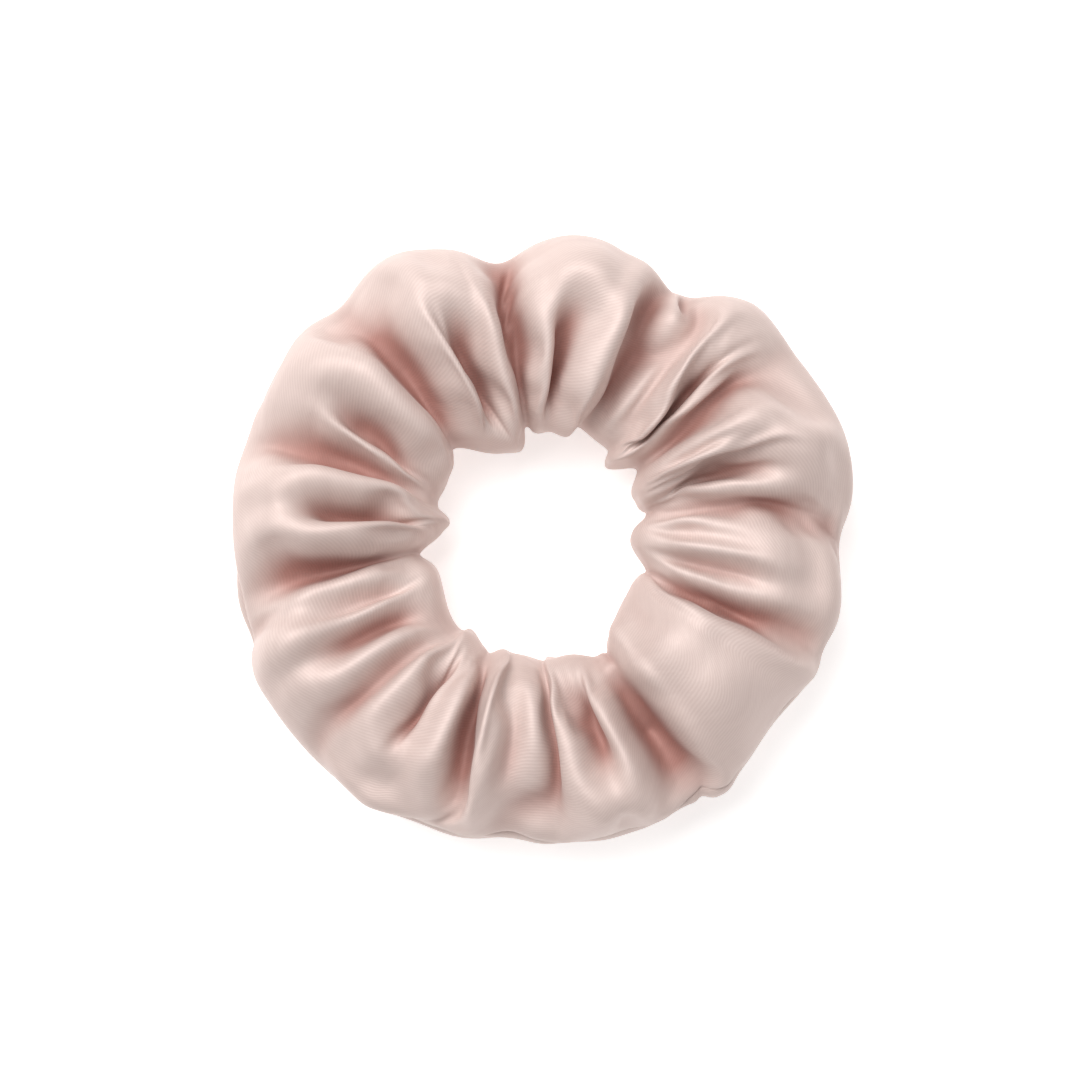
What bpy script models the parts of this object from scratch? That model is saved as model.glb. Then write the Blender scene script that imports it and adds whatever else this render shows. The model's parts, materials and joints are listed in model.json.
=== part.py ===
"""Satin hair scrunchie: a gathered fabric cover round a flat elastic loop, with the threads of its seams.

It lies flat on a table. Origin at the centre of its underside, +Z up, metres."""

import math

import bmesh
import bpy
import numpy as np

MM = 0.001

# Gathered cover. Each row is one crest or crease of the gathers, in order round the ring:
# angle in degrees, hole radius, outer radius and height of the top surface there, in millimetres.
GATHERS = (
    (2, 15.5, 53.0, 20.0),
    (7, 15.0, 55.5, 26.0),
    (12, 17.0, 55.8, 22.0),
    (18, 18.5, 55.8, 27.0),
    (25, 21.0, 55.6, 23.5),
    (33, 20.0, 56.0, 27.0),
    (41, 19.8, 56.0, 22.0),
    (48, 17.8, 55.8, 26.0),
    (56, 18.8, 53.0, 20.5),
    (61, 18.2, 52.0, 25.0),
    (67, 20.2, 52.6, 20.0),
    (77, 19.5, 54.6, 28.0),
    (87, 20.5, 54.0, 21.0),
    (94, 18.0, 53.0, 26.5),
    (101, 18.5, 49.5, 19.0),
    (108, 16.9, 54.5, 26.0),
    (115, 19.0, 56.6, 21.5),
    (122, 20.0, 57.2, 27.5),
    (131, 23.2, 55.2, 20.5),
    (139, 21.2, 56.6, 27.5),
    (147, 22.0, 56.4, 24.5),
    (154, 20.4, 56.2, 28.0),
    (161, 19.8, 55.4, 22.5),
    (168, 17.5, 55.8, 26.0),
    (175, 18.8, 55.4, 20.5),
    (183, 18.6, 55.2, 27.0),
    (190, 21.4, 55.8, 22.0),
    (197, 19.9, 57.0, 26.5),
    (204, 22.0, 57.0, 20.5),
    (211, 21.8, 57.0, 27.0),
    (219, 22.4, 57.0, 22.0),
    (227, 20.9, 57.0, 27.5),
    (236, 23.4, 57.1, 20.5),
    (243, 21.2, 56.4, 27.0),
    (251, 21.0, 55.2, 23.5),
    (257, 19.2, 54.6, 27.0),
    (265, 20.4, 54.0, 22.0),
    (270, 20.2, 55.0, 28.0),
    (276, 23.5, 54.6, 19.0),
    (285, 22.4, 54.6, 27.0),
    (297, 22.0, 56.0, 19.5),
    (308, 20.6, 56.4, 27.0),
    (320, 21.0, 50.5, 26.5),
    (329, 20.4, 55.6, 26.5),
    (338, 18.6, 55.0, 19.0),
    (344, 16.2, 54.8, 26.0),
    (351, 15.2, 54.4, 21.5),
    (357, 14.8, 54.0, 26.0),
)
CREASE_STEP = 0.35
CREASE_RISE = 0.62
WALL = 0.5 * MM
SEAM_HEIGHT = 13.0 * MM
SQUARENESS = 2.3
CREST_HEIGHT = 28.0 * MM
UNDERSIDE_PUCKER = 0.4
WALL_POINTS = 15
SEAM_ANGLE = 9.0

# Long seam: a slit round the outside with its two allowances turned into the tube.
SLIT = 0.4 * MM
ALLOWANCE = 7.0 * MM
SEAM_ROOT = 0.8 * MM

# Flat braided elastic, its ends lapped and sewn together.
ELASTIC_RADIUS = 26.5 * MM
ELASTIC_WIDTH = 6.0 * MM
ELASTIC_THICKNESS = 1.0 * MM
ELASTIC_CORNER = 0.3 * MM
ELASTIC_LAP = 27.0
ELASTIC_RAMP = 30.0
ELASTIC_STATIONS = 66

# Sewing threads.
THREAD = 0.15 * MM
THREAD_SIDES = 5
CLEARANCE = 0.3 * MM
LONG_STITCH_INSET = 2.0 * MM
CLOSING_ANGLE = 302.0
CLOSING_SPACING = 1.8
ZIGZAG_HALF_WIDTH = 1.8 * MM
ZIGZAG_PITCH = 4.0 * MM
ZIGZAG_COUNT = 2.5
ZIGZAG_POINTS = 26

BLUSH_SATIN = (0.69, 0.51, 0.46, 1.0)
WHITE_ELASTIC = (0.80, 0.79, 0.76, 1.0)
PINK_THREAD = (0.60, 0.40, 0.36, 1.0)
WHITE_THREAD = (0.82, 0.81, 0.78, 1.0)


def clear_scene():
    for thing in list(bpy.data.objects):
        bpy.data.objects.remove(thing, do_unlink=True)


def material(name, colour, roughness):
    made = bpy.data.materials.new(name)
    made.use_nodes = True
    shader = made.node_tree.nodes["Principled BSDF"]
    shader.inputs["Base Color"].default_value = colour
    shader.inputs["Roughness"].default_value = roughness
    shader.inputs["Metallic"].default_value = 0.0
    return made


def add_mesh(name, loops, skin, ring):
    """Joins closed loops of points into a tube, round a whole ring or capped at both ends."""
    mesh = bmesh.new()
    rows = [[mesh.verts.new(point) for point in loop] for loop in loops]
    count = len(rows[0])
    spans = len(rows) if ring else len(rows) - 1
    for i in range(spans):
        here = rows[i]
        after = rows[(i + 1) % len(rows)]
        for j in range(count):
            k = (j + 1) % count
            mesh.faces.new((here[j], after[j], after[k], here[k]))
    if not ring:
        mesh.faces.new(rows[0])
        mesh.faces.new(rows[-1])
    bmesh.ops.triangulate(mesh, faces=mesh.faces)
    bmesh.ops.recalc_face_normals(mesh, faces=mesh.faces)
    for face in mesh.faces:
        face.smooth = True
    data = bpy.data.meshes.new(name)
    mesh.to_mesh(data)
    mesh.free()
    data.materials.append(skin)
    thing = bpy.data.objects.new(name, data)
    bpy.context.scene.collection.objects.link(thing)
    return thing


def stations():
    """Angles round the ring with the hole radius, outer radius and top height at each, in metres."""
    rows = []
    for i, here in enumerate(GATHERS):
        after = GATHERS[(i + 1) % len(GATHERS)]
        step = (after[0] - here[0]) % 360
        rising = after[3] > here[3]
        along = CREASE_STEP if rising else 1 - CREASE_STEP
        share = CREASE_RISE if rising else 1 - CREASE_RISE
        sizes = [a + (b - a) * share for a, b in zip(here[1:], after[1:])]
        rows.append((here[0], *(MM * v for v in here[1:])))
        rows.append((here[0] + along * step, *(MM * v for v in sizes)))
    return np.array(rows)


def sizes_at(angle, table):
    """Hole radius, outer radius and top height at any angle, on straight lines between stations."""
    around = np.append(table[:, 0], table[0, 0] + 360)
    where = (angle - table[0, 0]) % 360 + table[0, 0]
    return [np.interp(where, around, np.append(table[:, c], table[0, c])) for c in (1, 2, 3)]


def outer_chain(hole, outside, top):
    """The cloth's outer side as (radius, height) points, from one allowance's raw edge to the other's."""
    middle = (hole + outside) / 2
    half = (outside - hole) / 2
    points = []
    for turn in np.linspace(SEAM_ANGLE, 360 - SEAM_ANGLE, WALL_POINTS):
        c = math.cos(math.radians(turn))
        s = math.sin(math.radians(turn))
        rise = top - SEAM_HEIGHT if s > 0 else SEAM_HEIGHT
        pull = UNDERSIDE_PUCKER * (CREST_HEIGHT - top) * (2 * s * c) ** 2 if s < 0 else 0.0
        across = math.copysign(abs(c) ** (2 / SQUARENESS), c)
        up = math.copysign(abs(s) ** (2 / SQUARENESS), s)
        points.append((middle + (half - pull) * across, SEAM_HEIGHT + (rise - pull) * up))
    lowest = sorted(range(WALL_POINTS), key=lambda i: points[i][1])[:3]
    for i in lowest:
        points[i] = (points[i][0], 0.0)
    edge = outside - ALLOWANCE
    root = outside - SEAM_ROOT
    upper = [(edge, SEAM_HEIGHT + SLIT / 2), (root, SEAM_HEIGHT + SLIT / 2)]
    lower = [(root, SEAM_HEIGHT - SLIT / 2), (edge, SEAM_HEIGHT - SLIT / 2)]
    return np.array(upper + points + lower)


def inset(chain, depth):
    """The chain moved towards the inside of the tube, with mitred corners."""
    steps = np.diff(chain, axis=0)
    steps /= np.linalg.norm(steps, axis=1)[:, None]
    sides = np.stack([-steps[:, 1], steps[:, 0]], axis=1)
    before = np.vstack([sides[:1], sides])
    after = np.vstack([sides, sides[-1:]])
    mitre = before + after
    mitre /= np.linalg.norm(mitre, axis=1)[:, None]
    reach = depth / np.sum(mitre * after, axis=1)
    return chain + mitre * reach[:, None]


def round_ring(points, angle):
    """Turns (radius, height) points into space at an angle round the ring."""
    c = math.cos(math.radians(angle))
    s = math.sin(math.radians(angle))
    return [(r * c, r * s, z) for r, z in points]


def thread_tube(name, path, skin, ring):
    """A round thread along a path of points."""
    path = np.array(path)
    if ring:
        along = np.roll(path, -1, axis=0) - np.roll(path, 1, axis=0)
    else:
        along = np.gradient(path, axis=0)
    along /= np.linalg.norm(along, axis=1)[:, None]
    side = np.cross(along[0], (0.3, 0.2, 1.0))
    loops = []
    for point, ahead in zip(path, along):
        side = side - ahead * np.dot(side, ahead)
        side /= np.linalg.norm(side)
        up = np.cross(ahead, side)
        loop = []
        for k in range(THREAD_SIDES):
            turn = 2 * math.pi * k / THREAD_SIDES
            loop.append(tuple(point + THREAD * (math.cos(turn) * side + math.sin(turn) * up)))
        loops.append(loop)
    return add_mesh(name, loops, skin, ring)


def ring_thread(name, table, height, skin):
    """A thread that follows the long seam all the way round, its section upright at every station."""
    loops = []
    for angle, _, outside, _ in table:
        centre = outside - LONG_STITCH_INSET
        section = []
        for k in range(THREAD_SIDES):
            turn = 2 * math.pi * k / THREAD_SIDES
            section.append((centre + THREAD * math.cos(turn), height + THREAD * math.sin(turn)))
        loops.append(round_ring(section, angle))
    return add_mesh(name, loops, skin, True)


def cover(table, skin):
    loops = []
    for angle, hole, outside, top in table:
        chain = outer_chain(hole, outside, top)
        inner = inset(chain, WALL)
        loops.append(round_ring(np.vstack([chain, inner[::-1]]), angle))
    return add_mesh("satin_cover", loops, skin, True)


def elastic_section(radius):
    wide = ELASTIC_WIDTH / 2
    thick = ELASTIC_THICKNESS / 2
    cut = ELASTIC_CORNER
    corners = (
        (thick, wide - cut),
        (thick - cut, wide),
        (cut - thick, wide),
        (-thick, wide - cut),
        (-thick, cut - wide),
        (cut - thick, -wide),
        (thick - cut, -wide),
        (thick, cut - wide),
    )
    return [(radius + x, SEAM_HEIGHT + z) for x, z in corners]


def elastic(skin):
    """One loop whose last stretch steps out and laps over its first."""
    start = CLOSING_ANGLE - ELASTIC_LAP / 2
    loops = []
    for gone in np.linspace(0, 360 + ELASTIC_LAP, ELASTIC_STATIONS):
        share = min(1.0, max(0.0, (gone - 360 + ELASTIC_RAMP) / ELASTIC_RAMP))
        step = share * share * (3 - 2 * share) * (ELASTIC_THICKNESS + CLEARANCE)
        loops.append(round_ring(elastic_section(ELASTIC_RADIUS + step), start + gone))
    return add_mesh("elastic_band", loops, skin, False)


def zigzag_thread(name, radius, phase, skin):
    """A zigzag of thread across the elastic's lap, at a radius from the ring's centre."""
    path = []
    for t in np.linspace(-0.5, 0.5, ZIGZAG_POINTS):
        along = t * ZIGZAG_COUNT * ZIGZAG_PITCH
        wave = math.sin(2 * math.pi * t * ZIGZAG_COUNT + phase)
        angle = math.radians(CLOSING_ANGLE) + along / ELASTIC_RADIUS
        height = SEAM_HEIGHT + ZIGZAG_HALF_WIDTH * wave
        path.append((radius * math.cos(angle), radius * math.sin(angle), height))
    return thread_tube(name, path, skin, False)


def closing_thread(name, angle, table, skin):
    """A thread round the inside of the tube, beside the seam that joins the tube's two ends."""
    chain = inset(outer_chain(*sizes_at(angle, table)), WALL + 2 * CLEARANCE + THREAD)
    return thread_tube(name, round_ring(chain[3:-3], angle), skin, False)


def build():
    clear_scene()
    satin = material("blush_satin", BLUSH_SATIN, 0.38)
    braid = material("white_elastic", WHITE_ELASTIC, 0.75)
    pink = material("pink_thread", PINK_THREAD, 0.55)
    white = material("white_thread", WHITE_THREAD, 0.6)
    table = stations()
    cover(table, satin)
    elastic(braid)
    off_seam = SLIT / 2 + WALL + CLEARANCE + THREAD
    ring_thread("long_seam_needle_thread", table, SEAM_HEIGHT + off_seam, pink)
    ring_thread("long_seam_bobbin_thread", table, SEAM_HEIGHT - off_seam, pink)
    closing_thread("closing_seam_needle_thread", CLOSING_ANGLE - CLOSING_SPACING / 2, table, pink)
    closing_thread("closing_seam_bobbin_thread", CLOSING_ANGLE + CLOSING_SPACING / 2, table, pink)
    half = ELASTIC_THICKNESS / 2
    beside = half + CLEARANCE + THREAD
    outer_face = ELASTIC_RADIUS + ELASTIC_THICKNESS + CLEARANCE
    zigzag_thread("elastic_join_needle_thread", outer_face + beside, 0.0, white)
    zigzag_thread("elastic_join_bobbin_thread", ELASTIC_RADIUS - beside, math.pi, white)


build()
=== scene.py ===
import json
import math

import bpy
import numpy as np
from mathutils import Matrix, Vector


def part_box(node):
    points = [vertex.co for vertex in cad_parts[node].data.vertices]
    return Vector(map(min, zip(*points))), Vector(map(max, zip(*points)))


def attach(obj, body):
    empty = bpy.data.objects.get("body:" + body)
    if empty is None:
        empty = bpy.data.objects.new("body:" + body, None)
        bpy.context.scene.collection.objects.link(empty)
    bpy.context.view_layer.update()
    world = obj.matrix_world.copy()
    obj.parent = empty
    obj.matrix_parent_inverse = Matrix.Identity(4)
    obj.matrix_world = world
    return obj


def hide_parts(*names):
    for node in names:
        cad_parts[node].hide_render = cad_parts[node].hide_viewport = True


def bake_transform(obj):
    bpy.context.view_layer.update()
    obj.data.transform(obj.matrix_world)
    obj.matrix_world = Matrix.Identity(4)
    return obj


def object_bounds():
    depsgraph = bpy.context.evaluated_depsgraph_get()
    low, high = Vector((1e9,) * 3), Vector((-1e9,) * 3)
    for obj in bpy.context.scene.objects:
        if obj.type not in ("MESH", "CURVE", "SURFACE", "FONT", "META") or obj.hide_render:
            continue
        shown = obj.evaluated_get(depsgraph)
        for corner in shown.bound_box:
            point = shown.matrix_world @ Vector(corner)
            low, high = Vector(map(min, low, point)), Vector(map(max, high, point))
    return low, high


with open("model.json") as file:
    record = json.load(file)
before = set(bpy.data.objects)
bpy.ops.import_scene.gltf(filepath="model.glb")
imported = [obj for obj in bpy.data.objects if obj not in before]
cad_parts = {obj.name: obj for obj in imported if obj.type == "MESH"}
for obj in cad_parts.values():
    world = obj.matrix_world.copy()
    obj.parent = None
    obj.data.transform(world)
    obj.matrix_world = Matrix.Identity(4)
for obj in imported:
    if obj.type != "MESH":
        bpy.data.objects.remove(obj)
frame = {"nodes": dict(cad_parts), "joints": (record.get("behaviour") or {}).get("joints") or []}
cad_box = [list(corner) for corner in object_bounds()]

MM = 0.001
TURN = 2 * math.pi
JOINT = frame["joints"][0]
JOIN_WAY = Vector(JOINT["axis"]).normalized()
JOIN_ANGLE = math.degrees(math.atan2(JOIN_WAY.y, JOIN_WAY.x)) % 360

# The satin tube as it was cut: the distance round it, and the allowance of each seam.
TUBE_GIRTH = 101 * MM
ALLOWANCE = 7 * MM

# Panels of cloth between the creases that run right across the ring, in order round it:
# angle of the panel's first crease at the outside, on the crown and at the hole; lean of the panel;
# places of the shorter creases inside it; narrowness of its creases.
PANELS = (
    (2.5, 10.0, 12.5, -0.10, (0.28,), 0.5),
    (36.5, 39.0, 40.5, 0.10, (0.50,), 0.4),
    (58.0, 54.8, 54.2, -0.30, (), 0.2),
    (64.0, 66.5, 70.0, -0.35, (0.58,), 0.6),
    (99.0, 101.0, 101.5, -0.50, (0.45,), 0.7),
    (132.0, 132.0, 134.5, -0.55, (0.62,), 0.6),
    (161.5, 160.8, 163.0, -0.50, (0.48,), 0.6),
    (194.0, 190.0, 188.8, -0.45, (0.34, 0.64), 0.5),
    (222.0, 220.5, 223.5, -0.35, (0.37,), 0.4),
    (249.0, 251.0, 248.0, -0.20, (), 0.2),
    (262.5, 260.5, 257.5, 0.30, (), 0.3),
    (272.0, 272.5, 272.0, -0.35, (0.5,), 0.5),
    (301.0, 301.5, 299.0, 0.05, (), 0.9),
    (337.0, 338.5, 341.0, 0.10, (0.36, 0.66), 0.6),
)

# Softer hollows laid over the panels: angle, depth and reach in mm at the outside, crown and hole.
HOLLOWS = (
    ((25.0, 0.0, 3.0), (26.0, 2.6, 3.2), (25.0, 1.5, 3.0)),
    ((75.0, 1.6, 2.2), (75.0, 0.6, 2.2), (75.0, 0.0, 2.2)),
    ((89.0, 0.0, 3.0), (88.8, 1.5, 3.0), (88.5, 3.5, 2.2)),
    ((112.0, 0.0, 2.0), (106.5, 1.6, 1.6), (117.0, 3.0, 2.2)),
    ((149.0, 0.0, 3.0), (149.0, 1.2, 2.6), (153.0, 1.8, 2.0)),
    ((174.0, 0.0, 2.4), (173.0, 1.8, 2.4), (175.5, 3.0, 2.0)),
    ((197.5, 2.4, 1.6), (196.0, 0.8, 1.6), (197.0, 0.0, 1.6)),
    ((202.0, 0.0, 2.0), (202.0, 0.5, 2.0), (201.0, 2.5, 2.4)),
    ((209.0, 0.4, 2.4), (207.0, 2.0, 2.4), (211.0, 3.0, 1.6)),
    ((233.0, 0.6, 2.6), (235.5, 2.0, 3.0), (236.0, 3.5, 2.0)),
    ((286.0, 0.6, 2.4), (286.0, 2.0, 2.4), (286.0, 2.0, 2.0)),
    ((274.0, 0.0, 2.6), (275.5, 2.2, 2.8), (274.0, 2.0, 2.4)),
    ((299.0, 1.0, 3.0), (299.0, 2.5, 4.0), (297.0, 2.0, 3.0)),
    ((340.0, 1.0, 2.4), (341.0, 2.5, 3.0), (342.0, 1.5, 2.0)),
    ((351.0, 0.0, 2.4), (350.0, 2.0, 2.4), (352.5, 3.0, 2.2)),
    ((4.0, 0.0, 2.0), (4.0, 1.5, 2.0), (4.5, 2.0, 2.0)),
)

# Wider hollows along the panels' own creases, in the same form.
CREASE_HOLLOWS = (
    ((8.0, 0.0, 2.5), (9.0, 2.5, 3.5), (10.0, 1.0, 2.5)),
    ((46.0, 0.0, 2.5), (45.0, 2.5, 3.5), (43.0, 0.8, 2.5)),
    ((65.0, 0.8, 2.5), (64.0, 2.5, 3.0), (66.0, 0.5, 2.5)),
    ((98.0, 2.5, 3.0), (98.0, 3.5, 3.0), (99.0, 0.8, 2.5)),
    ((128.0, 0.5, 3.5), (127.0, 3.2, 4.5), (130.0, 1.2, 3.0)),
    ((158.0, 0.3, 3.5), (157.0, 2.8, 4.0), (160.0, 0.6, 2.5)),
    ((191.0, 1.0, 3.5), (187.5, 3.0, 3.5), (187.0, 0.8, 2.5)),
    ((238.0, 0.0, 2.0), (236.5, 2.4, 2.6), (238.0, 0.6, 2.0)),
    ((250.0, 0.0, 2.0), (250.5, 2.2, 2.2), (248.0, 0.8, 2.0)),
    ((300.0, 1.2, 3.5), (298.0, 3.0, 4.5), (297.0, 0.6, 3.0)),
    ((338.0, 1.8, 3.0), (340.0, 2.2, 3.5), (342.0, 0.8, 2.5)),
)

# The elastic draws the softer hollows shallower and wider at the hole.
HOLE_DEPTH_SHARE = 0.55
HOLE_REACH_SHARE = 1.35

# Where the long seam rides up on to the outer shoulder: angle, spread in degrees, share of a turn.
SEAM_RISES = (
    (190.0, 13.0, 0.05),
    (264.0, 10.0, 0.055),
    (304.0, 13.0, 0.06),
    (326.0, 6.0, 0.05),
)
SEAM_LOW = -0.02

# Where the outside, crown and hole stops lie, as shares of the way from the long seam to the hole.
STOPS = (0.18, 0.5, 0.80)

# Cloth in a panel over its widest stretch, and how narrow the creases between panels are.
FULLNESS = 1.01
NARROW = 0.11

# The steepest that the cloth turns, in radians, at places from the long seam, 0, to the hole, 1.
SLOPE_PLACES = (0, 0.2, 0.45, 0.68, 0.85, 1.0)
SLOPE_LIMITS = (0.16, 0.52, 1.45, 1.50, 1.05, 0.75)
LOBE_ROUNDNESS = 0.5

# Section of the tube before it settles. A valley is how far the folds' floor lies inside the surface.
SEAM_HEIGHT = 13 * MM
CROWN = 27 * MM
SQUARENESS = 2.1
OUTER_VALLEY = 1.5 * MM
CROWN_VALLEY = 5.5 * MM
HOLE_VALLEY = 2.5 * MM
BASE_VALLEY = 3.0 * MM
MEAN_HOLE = 20.3 * MM
MEAN_OUTSIDE = 55 * MM

# Rows of the cloth round the ring and round the tube, and how many times finer the final mesh is.
AROUND = 320
SECTION = 52
FINER = 2

# Smoothing of the settled cloth, in rows, at the hole and over the flat panel, and that panel's angles.
HOLE_CALM = 3.5
PANEL_CALM = 7
FLAT_PANEL = (305, 336)

# How much deeper the folds over the crown are made, the width in rows that counts as a fold, and the
# depth in a fold at which the painted shade on the satin is darkest.
FOLD_DEEPENING = 0.5
CREASE_ROWS = 14
PAINTED_SHADE_DEPTH = 2.4 * MM

# Seams: how far each draws the cloth in, and how far from the seam that reaches.
SEAM_DEPTH = 0.9 * MM
SEAM_REACH = 1.3 * MM
CLOSING_DEPTH = 0.9 * MM
CLOSING_REACH = 1.1 * MM

# The seam allowances inside the tube, in mm: distance in from the seam, and half the gap between them.
FLAP_STEPS = (0.7, 1.6, 3.2, 5.1, 7.0)
FLAP_SPREAD = (0.12, 0.16, 0.22, 0.35, 0.55)
FLAP_HAIR = 0.06 * MM

# Sewing threads.
STITCH = 2.5 * MM
THREAD_RADIUS = 0.12 * MM
ZIGZAG_THREAD_RADIUS = 0.15 * MM
POINTS_PER_STITCH = 5

# Flat braided elastic: its loop, and its end that steps out and laps over its start, in degrees.
ELASTIC_RADIUS = 26.5 * MM
LAP = 27.0
RAMP = 30.0
LAP_STEP = 1.3 * MM
ZIGZAG_LENGTH = 10 * MM
ZIGZAGS = 4

# The cloth is settled ten times larger than life, because Blender's cloth suits that size.
SETTLING_SCALE = 10
SETTLING_FRAMES = 22

# How strongly the cloth is held to its gathered shape while it settles, from 0 to 1.
HOLD = 0.3

# Camera: width of the view over the ring's width, how far the middle of the view lies off the
# centre, and the height at which that width is measured.
VIEW_SHARE = 1.765
VIEW_OFFSET = -0.8 * MM
VIEW_HEIGHT = 14 * MM


def smoothstep(low, high, x):
    x = np.clip((x - low) / (high - low), 0, 1)
    return x * x * (3 - 2 * x)


def bend(stops, t):
    """The parabola through three values at the outer, crown and hole stops."""
    a, b, c = stops
    t0, t1, t2 = STOPS
    t = np.clip(t, 0.05, 0.95)
    part_a = (t - t1) * (t - t2) / ((t0 - t1) * (t0 - t2))
    part_b = (t - t0) * (t - t2) / ((t1 - t0) * (t1 - t2))
    part_c = (t - t0) * (t - t1) / ((t2 - t0) * (t2 - t1))
    return a * part_a + b * part_b + c * part_c


def cover_rims():
    """Hole and outer radius of the CAD cover at its stations round the ring."""
    co = np.array([v.co for v in frame["nodes"]["satin_cover"].data.vertices])
    radius = np.hypot(co[:, 0], co[:, 1])
    angle = np.round(np.degrees(np.arctan2(co[:, 1], co[:, 0])) % 360, 1)
    stations = np.unique(angle)
    near = [np.abs(angle - at) < 0.15 for at in stations]
    holes = np.array([radius[n].min() for n in near])
    outs = np.array([radius[n].max() for n in near])
    return stations, holes, outs


def panel_slopes(places, narrow, fine, t):
    """Slope of the cloth along a panel, [section place, place in the panel], at full strength."""
    marks = (0.0, *places, 1.0)
    inner = np.zeros_like(fine)
    for low, high in zip(marks[:-1], marks[1:]):
        inside = (fine >= low) & (fine <= high)
        q = (fine[inside] - low) / (high - low)
        inner[inside] = 0.7 * np.sin(TURN * q) + 0.3 * (np.exp(-q / 0.15) - np.exp((q - 1) / 0.15))
    edge = np.exp(-fine / NARROW) - np.exp((fine - 1) / NARROW)
    whole = (1 - narrow) * np.sin(TURN * fine) + 1.25 * narrow * edge
    share = smoothstep(0.28, 0.56, t) * (1 - 0.85 * smoothstep(0.70, 0.92, t))
    if not places:
        share = np.zeros_like(share)
    return (1 - share)[:, None] * whole + share[:, None] * inner


def all_hollows():
    """Every hollow's stops at the outside, crown and hole, the softer ones eased at the hole."""
    eased = [
        (outer, crown, (at, deep * HOLE_DEPTH_SHARE, reach * HOLE_REACH_SHARE))
        for outer, crown, (at, deep, reach) in HOLLOWS
    ]
    return (*eased, *CREASE_HOLLOWS)


def gathered_shape():
    """The gathered tube as a grid of points [round the ring, round the tube], and the cut length."""
    phi = TURN * np.arange(SECTION) / SECTION
    t = 1 - np.abs(1 - phi / math.pi)
    under = phi > math.pi
    c, s = np.cos(phi), np.sin(phi)
    across = np.sign(c) * np.abs(c) ** (2 / SQUARENESS)
    up = np.sign(s) * np.abs(s) ** (2 / SQUARENESS)
    low = MEAN_HOLE + HOLE_VALLEY
    high = MEAN_OUTSIDE - OUTER_VALLEY
    radius = (high + low) / 2 + (high - low) / 2 * across
    starts = np.array([bend(p[:3], t) for p in PANELS])
    ends = np.roll(starts, -1, axis=0).copy()
    ends[-1] += 360
    chords = np.radians(ends - starts) * radius
    shares = FULLNESS * chords.max(axis=1)
    length = shares.sum()
    edges = np.concatenate([[0], np.cumsum(shares)])
    cloth = np.arange(AROUND) * length / AROUND
    limit = np.interp(t, SLOPE_PLACES, SLOPE_LIMITS)
    fine = np.linspace(0, 1, 401)
    angle = np.zeros((AROUND, SECTION))
    lift = np.zeros((AROUND, SECTION))
    for i, (_, _, _, lean, places, narrow) in enumerate(PANELS):
        slopes = panel_slopes(places, narrow, fine, t)
        least = np.zeros(SECTION)
        most = np.full(SECTION, 2.35)
        want = chords[i] / shares[i]
        for _ in range(40):
            k = (least + most) / 2
            long = np.cos(k[:, None] * slopes).mean(axis=1) > want
            least = np.where(long, k, least)
            most = np.where(long, most, k)
        k = np.minimum(k, limit)
        along = np.cumsum(np.cos(k[:, None] * slopes), axis=1)
        along *= (chords[i] / along[:, -1])[:, None]
        rise = np.cumsum(np.sin(k[:, None] * slopes), axis=1) * shares[i] / len(fine)
        mine = np.where((cloth >= edges[i]) & (cloth < edges[i + 1]))[0]
        where = (cloth[mine] - edges[i]) / shares[i]
        for j in range(SECTION):
            lift[mine, j] = np.interp(where, fine, rise[j])
            share = np.interp(where, fine, along[j]) / chords[i, j]
            share -= LOBE_ROUNDNESS * smoothstep(0.6, 1.0, t[j]) * np.sin(TURN * share) / TURN
            moved = chords[i, j] * share + lean * lift[mine, j]
            angle[mine, j] = starts[i, j] + np.degrees(moved / radius[j])
    places = np.broadcast_to(t, angle.shape)
    for stops in all_hollows():
        columns = [[stop[c] for stop in stops] for c in range(3)]
        centre = bend(columns[0], places)
        deep = np.clip(bend(columns[1], places), min(columns[1]), max(columns[1]))
        reach = np.clip(bend(columns[2], places), min(columns[2]), max(columns[2]))
        gap = np.radians((angle - centre + 180) % 360 - 180) * radius
        lift -= deep * MM * np.exp(-np.abs(gap / (reach * MM)) ** 1.6)
    stations, holes, outs = cover_rims()
    inside = np.interp(angle, stations, holes, period=360) + HOLE_VALLEY
    outside = np.interp(angle, stations, outs, period=360) - OUTER_VALLEY
    half = (outside - inside) / 2
    tall = np.where(under, SEAM_HEIGHT - BASE_VALLEY, CROWN - CROWN_VALLEY - SEAM_HEIGHT)
    normal_r = c * tall
    normal_z = s * half
    size = np.hypot(normal_r, normal_z)
    r = (inside + outside) / 2 + half * across + lift * normal_r / size
    z = SEAM_HEIGHT + tall * up + lift * normal_z / size
    z = np.maximum(z, 0.3 * MM)
    turn = np.radians(angle)
    return np.stack([r * np.cos(turn), r * np.sin(turn), z], axis=2), length


def closed_mesh(name, points):
    """A mesh over a grid of points that closes both ways."""
    n, m, _ = points.shape
    i, j = np.meshgrid(np.arange(n), np.arange(m), indexing="ij")
    a = i * m + j
    b = (i + 1) % n * m + j
    c = (i + 1) % n * m + (j + 1) % m
    d = i * m + (j + 1) % m
    quads = np.stack([a, b, c, d], axis=2).reshape(-1, 4)
    mesh = bpy.data.meshes.new(name)
    mesh.from_pydata(points.reshape(-1, 3).tolist(), [], quads.tolist())
    thing = bpy.data.objects.new(name, mesh)
    bpy.context.scene.collection.objects.link(thing)
    return thing


def round_section(radius, sides):
    turns = TURN * np.arange(sides) / sides
    return radius * np.stack([np.cos(turns), np.sin(turns)], axis=1)


def unit(vectors):
    return vectors / np.linalg.norm(vectors, axis=-1, keepdims=True)


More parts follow.
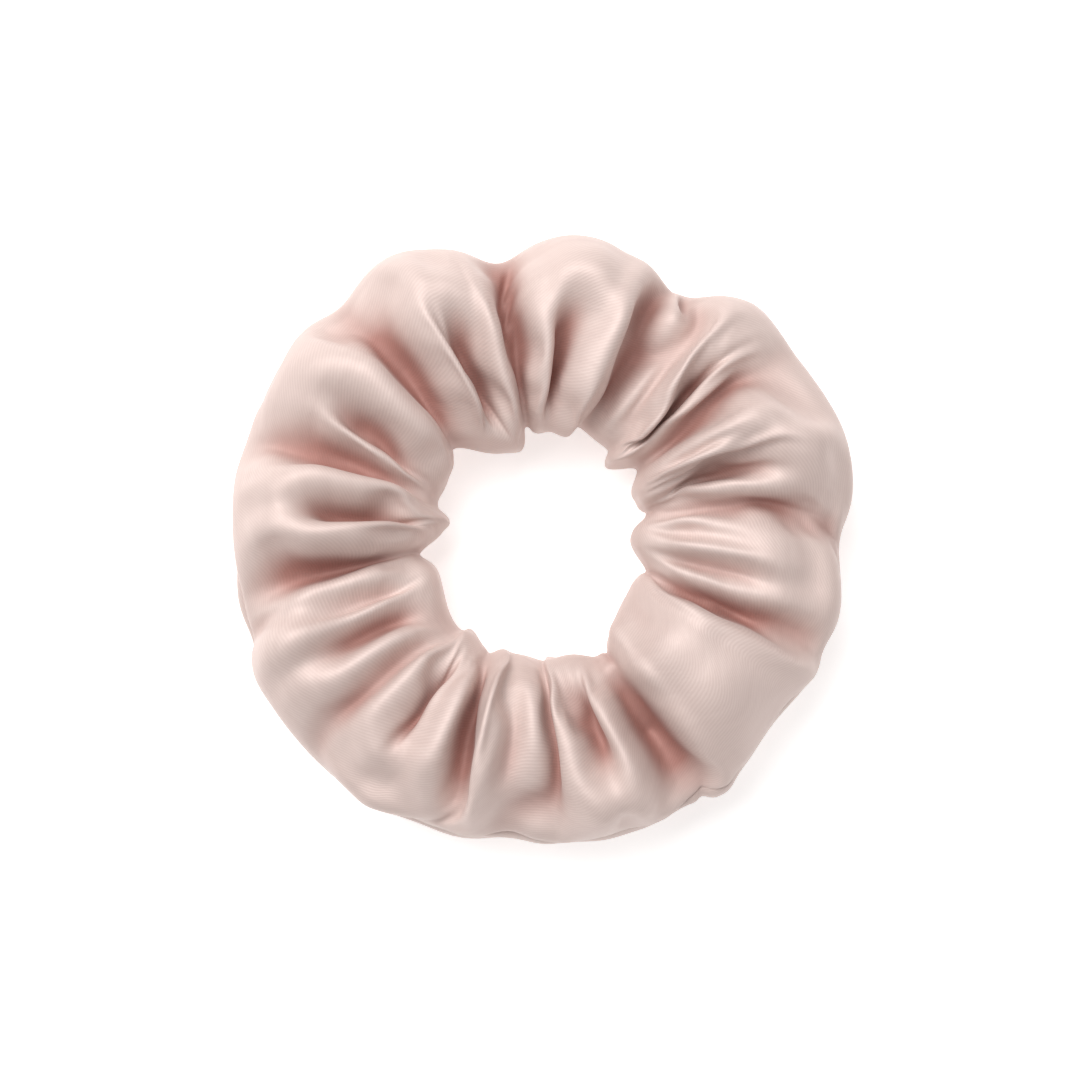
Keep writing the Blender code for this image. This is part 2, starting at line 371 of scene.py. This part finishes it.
def sweep(name, path, section, reference, closed):
    """A solid swept along a path, its section kept square to the path and to a reference direction."""
    if closed:
        along = np.roll(path, -1, axis=0) - np.roll(path, 1, axis=0)
    else:
        along = np.gradient(path, axis=0)
    along = unit(along)
    side = unit(np.cross(along, reference))
    up = np.cross(side, along)
    rows = path[:, None] + section[None, :, :1] * side[:, None] + section[None, :, 1:] * up[:, None]
    n, m, _ = rows.shape
    faces = []
    for i in range(n if closed else n - 1):
        for j in range(m):
            after = (i + 1) % n * m
            k = (j + 1) % m
            faces.append((i * m + j, after + j, after + k, i * m + k))
    if not closed:
        faces.append(tuple(range(m)))
        faces.append(tuple(reversed(range((n - 1) * m, n * m))))
    mesh = bpy.data.meshes.new(name)
    mesh.from_pydata(rows.reshape(-1, 3).tolist(), [], faces)
    mesh.shade_smooth()
    thing = bpy.data.objects.new(name, mesh)
    bpy.context.scene.collection.objects.link(thing)
    return thing


def simulate(shape):
    """Lets the gathered satin settle on its elastic and the table, ten times life size."""
    cloth = closed_mesh("settling", shape * SETTLING_SCALE)
    hold = cloth.vertex_groups.new(name="hold")
    hold.add(list(range(AROUND * SECTION)), HOLD, "REPLACE")
    satin = cloth.modifiers.new("satin", "CLOTH")
    settings = satin.settings
    settings.quality = 5
    settings.mass = 0.25
    settings.tension_stiffness = 40
    settings.compression_stiffness = 40
    settings.shear_stiffness = 8
    settings.bending_model = "LINEAR"
    settings.bending_stiffness = 15
    settings.tension_damping = 8
    settings.compression_damping = 8
    settings.shear_damping = 8
    settings.bending_damping = 1
    settings.air_damping = 4
    settings.vertex_group_mass = "hold"
    settings.pin_stiffness = 0.6
    settings.shrink_min = -0.05
    settings.use_pressure = True
    settings.uniform_pressure_force = 1.5
    settings.effector_weights.gravity = 0.3
    contact = satin.collision_settings
    contact.use_collision = True
    contact.distance_min = 0.012
    contact.use_self_collision = True
    contact.self_distance_min = 0.005
    contact.collision_quality = 3
    contact.self_friction = 3
    table_mesh = bpy.data.meshes.new("table")
    corners = [(-2, -2, 0), (2, -2, 0), (2, 2, 0), (-2, 2, 0)]
    table_mesh.from_pydata(corners, [], [(0, 1, 2, 3)])
    table = bpy.data.objects.new("table", table_mesh)
    bpy.context.scene.collection.objects.link(table)
    turns = TURN * np.arange(96) / 96
    ring = np.stack([np.cos(turns), np.sin(turns), np.zeros(len(turns))], axis=1) * ELASTIC_RADIUS
    ring[:, 2] = SEAM_HEIGHT
    oval = round_section(1.2 * MM, 10) * (1, 2.2)
    bar = sweep("bar", ring * SETTLING_SCALE, oval * SETTLING_SCALE, (0, 0, 1), True)
    for thing, skin in ((table, 0.004), (bar, 0.006)):
        thing.modifiers.new("contact", "COLLISION")
        thing.collision.thickness_outer = skin
        thing.collision.cloth_friction = 5
    scene = bpy.context.scene
    satin.point_cache.frame_start = 1
    satin.point_cache.frame_end = SETTLING_FRAMES
    for number in range(1, SETTLING_FRAMES + 1):
        scene.frame_set(number)
    settled = cloth.evaluated_get(bpy.context.evaluated_depsgraph_get()).to_mesh()
    co = np.zeros(len(settled.vertices) * 3)
    settled.vertices.foreach_get("co", co)
    for thing in (cloth, table, bar):
        bpy.data.objects.remove(thing, do_unlink=True)
    scene.frame_set(1)
    return co.reshape(AROUND, SECTION, 3) / SETTLING_SCALE


def spline_rows(points, places):
    """Points of a closed cubic spline through the first axis of a grid, at places counted in rows."""
    n = len(points)
    first = np.floor(places).astype(int)
    t = (places - first).reshape((-1,) + (1,) * (points.ndim - 1))
    weights = (
        (1 - t) ** 3 / 6,
        (3 * t**3 - 6 * t**2 + 4) / 6,
        (-3 * t**3 + 3 * t**2 + 3 * t + 1) / 6,
        t**3 / 6,
    )
    return sum(w * points[(first + k - 1) % n] for k, w in enumerate(weights))


def ring_blur(values, rows):
    """Averages values round the ring over about that many rows each way."""
    n = len(values)
    gap = np.arange(n)
    gap = np.minimum(gap, n - gap)
    kernel = np.exp(-((gap / rows) ** 2))
    kernel /= kernel.sum()
    spectrum = np.fft.rfft(kernel).reshape((-1,) + (1,) * (values.ndim - 1))
    return np.fft.irfft(np.fft.rfft(values, axis=0) * spectrum, n=n, axis=0)


def seam_place(points):
    """Where the long seam lies round the tube, in shares of a turn, at each row of the ring."""
    angle = np.degrees(np.arctan2(points[:, 0, 1], points[:, 0, 0])) % 360
    place = np.full(len(points), SEAM_LOW)
    for centre, spread, share in SEAM_RISES:
        gap = (angle - centre + 180) % 360 - 180
        place += (share - SEAM_LOW) * np.exp(-((gap / spread) ** 2))
    return ring_blur(place, 4)


def calm(settled):
    """Rounds off the smallest wrinkles at the hole and the long seam, and lays the flat panel smooth."""
    share = np.arange(SECTION) / SECTION
    t = 1 - np.abs(1 - 2 * share)
    angle = np.degrees(np.arctan2(settled[..., 1], settled[..., 0])) % 360
    at_hole = smoothstep(0.66, 0.92, t)[None, :, None]
    at_seam = 1 - smoothstep(0.04, 0.2, t)[None, :, None]
    calmer = settled + (ring_blur(settled, HOLE_CALM) - settled) * (at_hole + at_seam)
    low, high = FLAT_PANEL
    flat = smoothstep(low, low + 6, angle) * (1 - smoothstep(high - 6, high, angle))
    return calmer + (ring_blur(calmer, PANEL_CALM) - calmer) * flat[..., None]


class Cover:
    """The settled cloth as a fine grid, [round the ring, across the strip from seam to seam]."""

    def __init__(self, settled, length):
        rows = AROUND * FINER
        settled = calm(settled)
        fine = spline_rows(settled, np.arange(rows) / FINER)
        place = seam_place(fine)
        edge = np.array((0.0, 0.4, 0.9, 1.5, 2.3, 3.3)) * MM
        middle = np.linspace(4.4 * MM, TUBE_GIRTH - 4.4 * MM, 106)
        self.across = np.concatenate([edge, middle, TUBE_GIRTH - edge[::-1]])
        self.length = length
        columns = np.moveaxis(fine, 1, 0)
        where = place[None, :] + (self.across / TUBE_GIRTH)[:, None]
        grid = np.empty((rows, len(self.across), 3))
        for i in range(rows):
            grid[i] = spline_rows(columns[:, i], where[:, i] * SECTION)
        self.points = grid
        centre = ring_blur(grid.mean(axis=1), 12)
        self.inward = unit(centre[:, None] - grid)
        self.deepen()
        self.pinch()

    def deepen(self):
        """Makes the folds over the crown deeper, and leaves the hole and the long seam as they are."""
        t = 1 - np.abs(1 - 2 * self.across / TUBE_GIRTH)
        over_crown = smoothstep(0.12, 0.3, t) * (1 - smoothstep(0.74, 0.95, t))
        rise = ((self.points - ring_blur(self.points, CREASE_ROWS)) * self.inward).sum(axis=2)
        self.points = self.points + self.inward * (FOLD_DEEPENING * rise * over_crown)[..., None]

    def pinch(self):
        """Draws the cloth in along the long seam and along the seam that closes the ring."""
        from_seam = np.minimum(self.across, TUBE_GIRTH - self.across)
        depth = SEAM_DEPTH * np.exp(-from_seam / SEAM_REACH)
        angle = np.degrees(np.arctan2(self.points[..., 1], self.points[..., 0])).mean(axis=1)
        gap = (angle - JOIN_ANGLE + 180) % 360 - 180
        self.closing = int(np.argmin(np.abs(gap)))
        row = np.arange(len(self.points))
        far = np.abs(row - self.closing) * self.length / len(row)
        closing_depth = CLOSING_DEPTH * np.exp(-((far / CLOSING_REACH) ** 2))
        total = depth[None, :] + closing_depth[:, None]
        self.points = self.points + self.inward * total[..., None]

    def painted_fold_shade(self):
        """Painted shade: how deep in a fold each point of the strip lies, 0 on a ridge to 1, and 1 on the
        allowances.
        """
        below = ((ring_blur(self.points, CREASE_ROWS) - self.points) * -self.inward).sum(axis=2)
        depth = np.clip(below / PAINTED_SHADE_DEPTH, 0, 1) ** 1.3
        depth = ring_blur(depth, 1.5)
        # The seam allowances inside the tube get the full painted shade.
        allowances = np.ones((len(depth), len(FLAP_STEPS)))
        return np.concatenate([allowances, depth, allowances], axis=1)

    def strip(self):
        """The whole strip with its two allowances turned into the tube, and its flat coordinates."""
        grid = self.points
        steps = np.array(FLAP_STEPS) * MM
        spread = np.array(FLAP_SPREAD) * MM
        inward = unit(ring_blur(self.inward[:, 0], 5))
        up = unit(ring_blur(grid[:, 2] - grid[:, -3], 5))
        seam = (grid[:, 0] + grid[:, -1]) / 2
        flap = seam[:, None] + steps[None, :, None] * inward[:, None]
        upper = flap + spread[None, :, None] * up[:, None]
        lower = flap - spread[None, :, None] * up[:, None]
        body = grid.copy()
        body[:, 0] += FLAP_HAIR * up
        body[:, -1] -= FLAP_HAIR * up
        points = np.concatenate([upper[:, ::-1], body, lower], axis=1)
        flat = ALLOWANCE + np.concatenate([-steps[::-1], self.across, TUBE_GIRTH + steps])
        return points, flat

    def beside_seam(self, lateral, depth, count):
        """Points along the long seam, that far to its upper side and into the tube."""
        seam = (self.points[:, 0] + self.points[:, -1]) / 2
        up = unit(ring_blur(self.points[:, 2] - self.points[:, -3], 5))
        inward = unit(ring_blur(self.inward[:, 0], 5))
        places = np.arange(count) * len(seam) / count
        line = spline_rows(seam, places)
        return line + lateral[:, None] * spline_rows(up, places) + depth * spline_rows(inward, places)


def strip_object(name, points, flat, length, painted_fold_shade):
    """The strip as a mesh: closed round the ring, open along its two raw edges, with cloth coordinates."""
    n, m, _ = points.shape
    i, j = np.meshgrid(np.arange(n), np.arange(m - 1), indexing="ij")
    a = i * m + j
    b = (i + 1) % n * m + j
    quads = np.stack([a, b, b + 1, a + 1], axis=2).reshape(-1, 4)
    mesh = bpy.data.meshes.new(name)
    mesh.from_pydata(points.reshape(-1, 3).tolist(), [], quads.tolist())
    layer = mesh.uv_layers.new(name="cloth")
    along = np.stack([i, i + 1, i + 1, i], axis=2) * length / n
    over = flat[np.stack([j, j, j + 1, j + 1], axis=2)]
    layer.data.foreach_set("uv", np.stack([along, over], axis=3).reshape(-1))
    # The fold depth goes to the shader, which paints shade into the folds by it.
    depth = mesh.attributes.new("painted_crease_shade", "FLOAT", "POINT")
    depth.data.foreach_set("value", painted_fold_shade.reshape(-1).astype(np.float32))
    mesh.shade_smooth()
    thing = bpy.data.objects.new(name, mesh)
    bpy.context.scene.collection.objects.link(thing)
    return thing


def new_material(name, colour, roughness):
    made = bpy.data.materials.new(name)
    made.use_nodes = True
    shader = made.node_tree.nodes["Principled BSDF"]
    shader.inputs["Base Color"].default_value = (*colour, 1)
    shader.inputs["Roughness"].default_value = roughness
    return made, shader, made.node_tree.nodes, made.node_tree.links


def mapped(nodes, links, source, scale, turn=0.0):
    """Coordinates scaled, and turned about Z, for a texture."""
    mapping = nodes.new("ShaderNodeMapping")
    mapping.inputs["Scale"].default_value = scale
    mapping.inputs["Rotation"].default_value = (0, 0, math.radians(turn))
    links.new(source, mapping.inputs["Vector"])
    return mapping.outputs["Vector"]


def noise(nodes, links, vector, scale, detail, roughness=0.5):
    texture = nodes.new("ShaderNodeTexNoise")
    texture.inputs["Scale"].default_value = scale
    texture.inputs["Detail"].default_value = detail
    texture.inputs["Roughness"].default_value = roughness
    links.new(vector, texture.inputs["Vector"])
    return texture.outputs["Fac"]


def wave(nodes, links, vector, scale, distortion):
    texture = nodes.new("ShaderNodeTexWave")
    texture.wave_type = "BANDS"
    texture.bands_direction = "X"
    texture.inputs["Scale"].default_value = scale
    texture.inputs["Distortion"].default_value = distortion
    texture.inputs["Detail"].default_value = 1
    texture.inputs["Detail Scale"].default_value = 2
    links.new(vector, texture.inputs["Vector"])
    return texture.outputs["Fac"]


def bump(nodes, links, height, strength, distance, before=None):
    made = nodes.new("ShaderNodeBump")
    made.inputs["Strength"].default_value = strength
    made.inputs["Distance"].default_value = distance
    links.new(height, made.inputs["Height"])
    if before is not None:
        links.new(before, made.inputs["Normal"])
    return made.outputs["Normal"]


def ramp(nodes, links, factor, stops):
    made = nodes.new("ShaderNodeValToRGB")
    while len(made.color_ramp.elements) < len(stops):
        made.color_ramp.elements.new(0.5)
    for element, (place, colour) in zip(made.color_ramp.elements, stops):
        element.position = place
        element.color = (*colour, 1)
    links.new(factor, made.inputs["Fac"])
    return made.outputs["Color"]


def multiply(nodes, links, one, other):
    made = nodes.new("ShaderNodeMix")
    made.data_type = "RGBA"
    made.blend_type = "MULTIPLY"
    made.inputs["Factor"].default_value = 1
    links.new(one, made.inputs["A"])
    links.new(other, made.inputs["B"])
    return made.outputs["Result"]


def span(nodes, links, value, low, high):
    made = nodes.new("ShaderNodeMapRange")
    made.inputs["To Min"].default_value = low
    made.inputs["To Max"].default_value = high
    links.new(value, made.inputs["Value"])
    return made.outputs["Result"]


def satin_material():
    """Blush satin: a soft anisotropic gloss over a fine twill of floats, with painted shade in the folds
    and twill lines.
    """
    made, shader, nodes, links = new_material("blush_satin_look", (0.60, 0.38, 0.34), 0.44)
    shader.inputs["Metallic"].default_value = 0.20
    shader.inputs["IOR"].default_value = 1.5
    shader.inputs["Anisotropic"].default_value = 0.35
    shader.inputs["Sheen Weight"].default_value = 0.25
    shader.inputs["Sheen Roughness"].default_value = 0.35
    shader.inputs["Sheen Tint"].default_value = (1.0, 0.93, 0.90, 1)
    cloth = nodes.new("ShaderNodeUVMap")
    cloth.uv_map = "cloth"
    flat = cloth.outputs["UV"]
    twill = wave(nodes, links, mapped(nodes, links, flat, (1, 1, 1), 62), 640, 0.6)
    floats = noise(nodes, links, mapped(nodes, links, flat, (900, 2400, 1)), 1.0, 2)
    slubs = noise(nodes, links, mapped(nodes, links, flat, (60, 700, 1)), 1.0, 2)
    crinkle = noise(nodes, links, mapped(nodes, links, flat, (110, 260, 1)), 1.0, 3)
    shade = noise(nodes, links, mapped(nodes, links, flat, (26, 40, 1)), 1.0, 3)
    soft = bump(nodes, links, crinkle, 0.35, 0.35 * MM)
    lines = bump(nodes, links, twill, 0.30, 0.05 * MM, soft)
    fibres = bump(nodes, links, floats, 0.40, 0.05 * MM, lines)
    links.new(fibres, shader.inputs["Normal"])
    colours = ramp(nodes, links, shade, ((0.3, (0.70, 0.560, 0.515)), (0.7, (0.755, 0.615, 0.570))))
    threads = ramp(nodes, links, slubs, ((0.3, (0.965, 0.955, 0.955)), (0.7, (1.0, 1.0, 1.0))))
    # Painted shade: the satin darkens a little where each twill line's bump dips.
    rows = ramp(nodes, links, twill, ((0.0, (0.93, 0.915, 0.91)), (1.0, (1.0, 1.0, 1.0))))
    # Painted shade: the satin is darkened and reddened by how deep each point lies in a fold.
    painted_shade_attribute = nodes.new("ShaderNodeAttribute")
    painted_shade_attribute.attribute_name = "painted_crease_shade"
    deep = ramp(nodes, links, painted_shade_attribute.outputs["Fac"], ((0.0, (1.0, 1.0, 1.0)), (1.0, (0.58, 0.36, 0.33))))
    slubs_and_twill_shade = multiply(nodes, links, threads, rows)
    colour_with_painted_shade = multiply(nodes, links, multiply(nodes, links, colours, slubs_and_twill_shade), deep)
    links.new(colour_with_painted_shade, shader.inputs["Base Color"])
    links.new(span(nodes, links, floats, 0.53, 0.67), shader.inputs["Roughness"])
    return made


def elastic_material():
    """White braided elastic: herringbone of cotton over rubber cords."""
    made, shader, nodes, links = new_material("white_elastic_look", (0.80, 0.79, 0.76), 0.75)
    shader.inputs["Sheen Weight"].default_value = 0.2
    place = nodes.new("ShaderNodeTexCoord").outputs["Object"]
    weave = wave(nodes, links, mapped(nodes, links, place, (1, 1, 1), 45), 900, 1.5)
    fluff = noise(nodes, links, place, 1400, 3)
    first = bump(nodes, links, weave, 0.5, 0.08 * MM)
    links.new(bump(nodes, links, fluff, 0.4, 0.05 * MM, first), shader.inputs["Normal"])
    shades = ramp(nodes, links, fluff, ((0.3, (0.72, 0.71, 0.68)), (0.7, (0.84, 0.83, 0.80))))
    links.new(shades, shader.inputs["Base Color"])
    links.new(span(nodes, links, fluff, 0.65, 0.85), shader.inputs["Roughness"])
    return made


def thread_material(name, dark, light):
    """Spun sewing thread: its twist shows as fine turns, with painted shade darkening the grooves between
    them.
    """
    made, shader, nodes, links = new_material(name, light, 0.55)
    shader.inputs["Sheen Weight"].default_value = 0.2
    place = nodes.new("ShaderNodeTexCoord").outputs["Object"]
    twist = wave(nodes, links, mapped(nodes, links, place, (1, 1, 1), 30), 1600, 1.0)
    links.new(bump(nodes, links, twist, 0.5, 0.05 * MM), shader.inputs["Normal"])
    # Painted shade: the thread's colour goes dark where the twist's bump dips.
    links.new(ramp(nodes, links, twist, ((0.2, dark), (0.8, light))), shader.inputs["Base Color"])
    links.new(span(nodes, links, twist, 0.5, 0.65), shader.inputs["Roughness"])
    return made


def across_join(piece):
    """The piece stays with the ring, its placement baked into its mesh."""
    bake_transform(piece)


def make_cover(satin):
    shape, length = gathered_shape()
    settled = simulate(shape)
    cover = Cover(settled, length)
    points, flat = cover.strip()
    piece = strip_object("gathered_satin_cover", points, flat, length, cover.painted_fold_shade())
    piece.data.materials.append(satin)
    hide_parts("satin_cover")
    across_join(piece)
    return cover


def lockstitch(count, side, rise):
    """How far a seam's thread stands off the seam at each point: out between holes, in at each hole."""
    turns = np.arange(count * POINTS_PER_STITCH) / POINTS_PER_STITCH
    return side * (0.1 * MM + rise * np.abs(np.sin(math.pi * turns)) ** 0.6)


def make_long_seam(cover, thread):
    count = round(cover.length / STITCH)
    for name, side in (("needle", 1), ("bobbin", -1)):
        lateral = lockstitch(count, side, 0.38 * MM)
        path = cover.beside_seam(lateral, 1.1 * MM, len(lateral))
        piece = sweep(f"long_seam_{name}_stitches", path, round_section(THREAD_RADIUS, 6), (0, 0, 1), True)
        piece.data.materials.append(thread)
        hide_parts(f"long_seam_{name}_thread")
        across_join(piece)


def make_closing_seam(cover, thread):
    """Stitches round the tube where its two ends are sewn together."""
    row = cover.closing
    line = cover.points[row]
    inward = cover.inward[row]
    round_ring = unit(cover.points[(row + 3) % len(cover.points)] - cover.points[row - 3])
    far = np.concatenate([[0], np.cumsum(np.linalg.norm(np.diff(line, axis=0), axis=1))])
    count = int(far[-1] / STITCH) - 3
    for name, side in (("needle", 1), ("bobbin", -1)):
        lateral = lockstitch(count, side, 0.45 * MM)
        places = np.linspace(2 * STITCH, far[-1] - 2 * STITCH, len(lateral))
        path = np.empty((len(lateral), 3))
        for axis in range(3):
            base = np.interp(places, far, line[:, axis])
            base += lateral * np.interp(places, far, round_ring[:, axis])
            path[:, axis] = base + 0.9 * MM * np.interp(places, far, inward[:, axis])
        name = f"closing_seam_{name}"
        tangent = JOIN_WAY.cross(Vector((0, 0, 1)))
        piece = sweep(f"{name}_stitches", path, round_section(THREAD_RADIUS, 6), tuple(tangent), False)
        piece.data.materials.append(thread)
        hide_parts(f"{name}_thread")
        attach(piece, "join")


def make_elastic(braid):
    """Flat braided elastic with lengthwise ribs; its last stretch laps over its first."""
    low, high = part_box("elastic_band")
    wide = (high.z - low.z) / 2
    ribs = 5
    across = np.linspace(-1, 1, 6 * ribs + 1)
    thick = 0.5 * MM * (0.82 + 0.18 * np.abs(np.cos(math.pi * ribs * (across + 1) / 2)))
    thick[[0, -1]] = 0.28 * MM
    face = np.stack([thick, across * wide], axis=1)
    section = np.concatenate([face, face[::-1] * (-1, 1)])
    gone = np.linspace(0, 360 + LAP, 260)
    step = smoothstep(360 - RAMP, 360, gone) * LAP_STEP
    turn = np.radians(JOIN_ANGLE - LAP / 2 + gone)
    radius = ELASTIC_RADIUS + step
    middle = np.full(len(gone), (low.z + high.z) / 2)
    path = np.stack([radius * np.cos(turn), radius * np.sin(turn), middle], axis=1)
    piece = sweep("braided_elastic", path, section, (0, 0, 1), False)
    piece.data.materials.append(braid)
    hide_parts("elastic_band")
    across_join(piece)


def make_elastic_join(thread):
    """The zigzag that holds the elastic's lap, needle thread outside and bobbin thread inside."""
    for name in ("needle", "bobbin"):
        node = f"elastic_join_{name}_thread"
        co = np.array([v.co for v in frame["nodes"][node].data.vertices])
        radius = np.hypot(co[:, 0], co[:, 1]).mean()
        low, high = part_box(node)
        swing = (high.z - low.z) / 2 - THREAD_RADIUS
        t = np.linspace(-0.5, 0.5, 90)
        saw = 2 / math.pi * np.arcsin(np.sin(TURN * ZIGZAGS * t + (name == "bobbin") * math.pi))
        turn = math.radians(JOIN_ANGLE) + t * ZIGZAG_LENGTH / ELASTIC_RADIUS
        path = np.stack([radius * np.cos(turn), radius * np.sin(turn), SEAM_HEIGHT + swing * saw], axis=1)
        section = round_section(ZIGZAG_THREAD_RADIUS, 6)
        piece = sweep(f"elastic_join_{name}_stitches", path, section, tuple(JOIN_WAY), False)
        piece.data.materials.append(thread)
        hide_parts(node)
        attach(piece, "join")


def area_light(name, place, size, power):
    lamp = bpy.data.lights.new(name, "AREA")
    lamp.size = size
    lamp.energy = power
    thing = bpy.data.objects.new(name, lamp)
    thing.location = place
    aim = Vector((0, 0, SEAM_HEIGHT)) - Vector(place)
    thing.rotation_euler = aim.to_track_quat("-Z", "Y").to_euler()
    bpy.context.scene.collection.objects.link(thing)


def pale_floor():
    made, shader, _, _ = new_material("pale_floor_look", (0.95, 0.945, 0.94), 0.8)
    shader.inputs["Emission Color"].default_value = (1, 1, 1, 1)
    shader.inputs["Emission Strength"].default_value = 0.45
    mesh = bpy.data.meshes.new("pale_floor")
    corners = [(-3, -3, -0.1 * MM), (3, -3, -0.1 * MM), (3, 3, -0.1 * MM), (-3, 3, -0.1 * MM)]
    mesh.from_pydata(corners, [], [(0, 1, 2, 3)])
    mesh.materials.append(made)
    floor = bpy.data.objects.new("pale_floor", mesh)
    bpy.context.scene.collection.objects.link(floor)


def studio():
    area_light("key_light", (-0.25, 0.34, 0.66), 0.60, 6.0)
    area_light("fill_light", (0.5, -0.5, 0.5), 0.6, 0.6)
    world = bpy.data.worlds.new("studio")
    world.use_nodes = True
    background = world.node_tree.nodes["Background"]
    background.inputs["Color"].default_value = (1, 1, 1, 1)
    background.inputs["Strength"].default_value = 0.40
    bpy.context.scene.world = world
    bpy.context.scene.view_settings.view_transform = "Standard"


def camera():
    lens = bpy.data.cameras.new("overhead")
    lens.lens = 100
    lens.sensor_width = 36
    width = cad_box[1][0] - cad_box[0][0]
    distance = width * VIEW_SHARE * lens.lens / lens.sensor_width
    thing = bpy.data.objects.new("overhead", lens)
    thing.location = (VIEW_OFFSET, 0, distance + VIEW_HEIGHT)
    bpy.context.scene.collection.objects.link(thing)
    bpy.context.scene.camera = thing


cover_grid = make_cover(satin_material())
pink = thread_material("pink_thread_look", (0.50, 0.31, 0.27), (0.64, 0.44, 0.39))
white = thread_material("white_thread_look", (0.70, 0.69, 0.66), (0.84, 0.83, 0.80))
make_long_seam(cover_grid, pink)
make_closing_seam(cover_grid, pink)
make_elastic(elastic_material())
make_elastic_join(white)
pale_floor()
studio()
camera()

bpy.context.view_layer.update()
